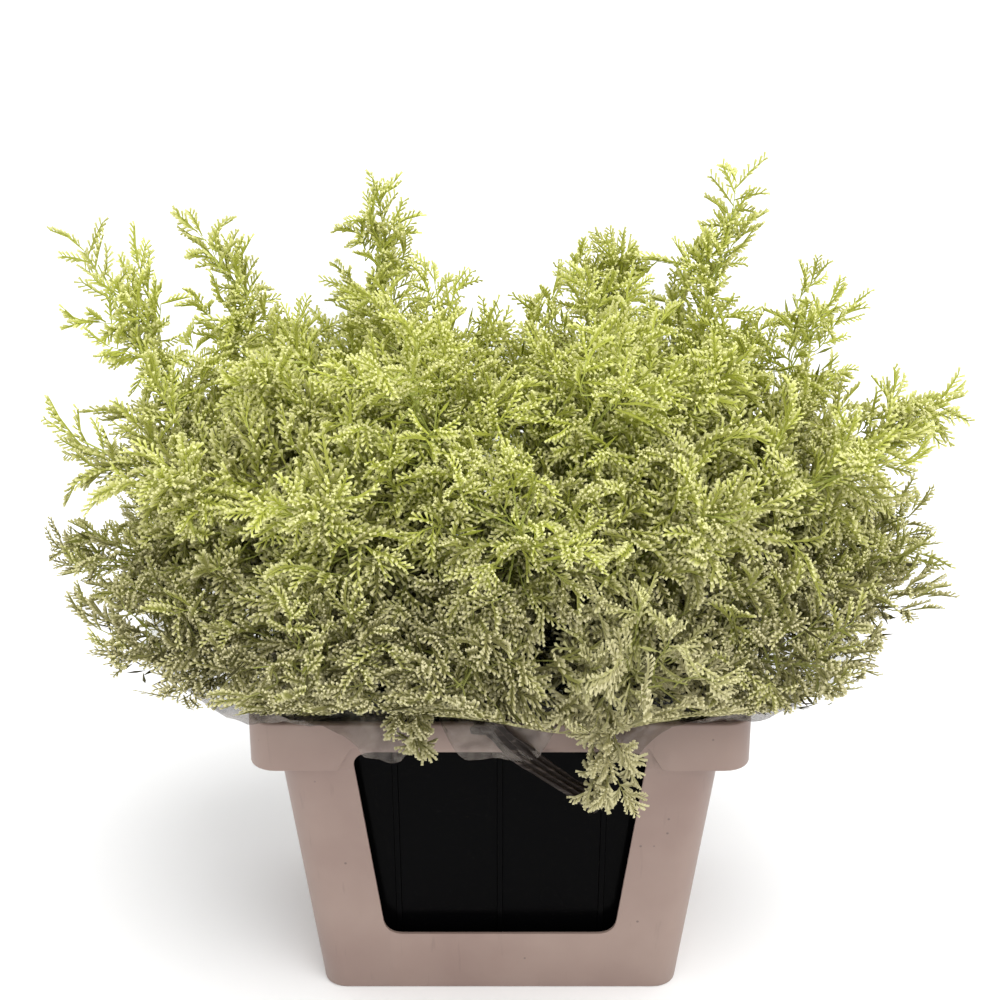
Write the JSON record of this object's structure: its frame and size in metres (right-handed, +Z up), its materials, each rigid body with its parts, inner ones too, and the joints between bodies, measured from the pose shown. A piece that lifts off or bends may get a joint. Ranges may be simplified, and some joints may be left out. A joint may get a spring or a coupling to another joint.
{
  "type": "crate of dried statice",
  "caption": "A wide mound of dried yellow-green statice sprays standing in clear film sleeves in a black bucket, inside a dull pink plastic flower crate with windowed walls.",
  "frame": {"origin": "the centre of the crate's flat underside, on the surface that it stands on", "axes": "+X to the right along the crate's long side, +Y from the front towards the back, +Z up"},
  "size_m": [0.7092, 0.5078, 0.654],
  "materials": {
    "crate_plastic": "satin injection-moulded polypropylene, scuffed",
    "bucket_plastic": "smooth glossy black polypropylene",
    "clear_film": "thin clear crinkled film",
    "dried_statice": "dry, papery dyed flowers and stems, no gloss"
  },
  "bodies": {
    "root": {"bucket": "bucket_plastic", "crate": "crate_plastic", "film_sleeve_back_left": "clear_film", "film_sleeve_back_middle": "clear_film", "film_sleeve_back_right": "clear_film", "film_sleeve_front_left": "clear_film", "film_sleeve_front_middle": "clear_film", "film_sleeve_front_right": "clear_film", "hanging_spray_01": "dried_statice", "hanging_spray_02": "dried_statice", "spray_01": "dried_statice", "spray_02": "dried_statice", "spray_03": "dried_statice", "spray_04": "dried_statice", "spray_05": "dried_statice", "spray_06": "dried_statice", "spray_07": "dried_statice", "spray_08": "dried_statice", "spray_09": "dried_statice", "spray_10": "dried_statice", "spray_11": "dried_statice", "spray_12": "dried_statice", "spray_13": "dried_statice", "spray_14": "dried_statice", "spray_15": "dried_statice", "spray_16": "dried_statice", "spray_17": "dried_statice", "spray_18": "dried_statice", "spray_19": "dried_statice", "spray_20": "dried_statice", "spray_21": "dried_statice", "spray_22": "dried_statice", "spray_23": "dried_statice", "spray_24": "dried_statice", "spray_25": "dried_statice", "spray_26": "dried_statice", "spray_27": "dried_statice", "spray_28": "dried_statice", "spray_29": "dried_statice", "spray_30": "dried_statice", "spray_31": "dried_statice", "spray_32": "dried_statice", "spray_33": "dried_statice", "tall_spray_01": "dried_statice", "tall_spray_02": "dried_statice", "tall_spray_03": "dried_statice", "tall_spray_04": "dried_statice", "tall_spray_05": "dried_statice", "tall_spray_06": "dried_statice", "tall_spray_07": "dried_statice", "tall_spray_08": "dried_statice"}
  },
  "joints": []
}
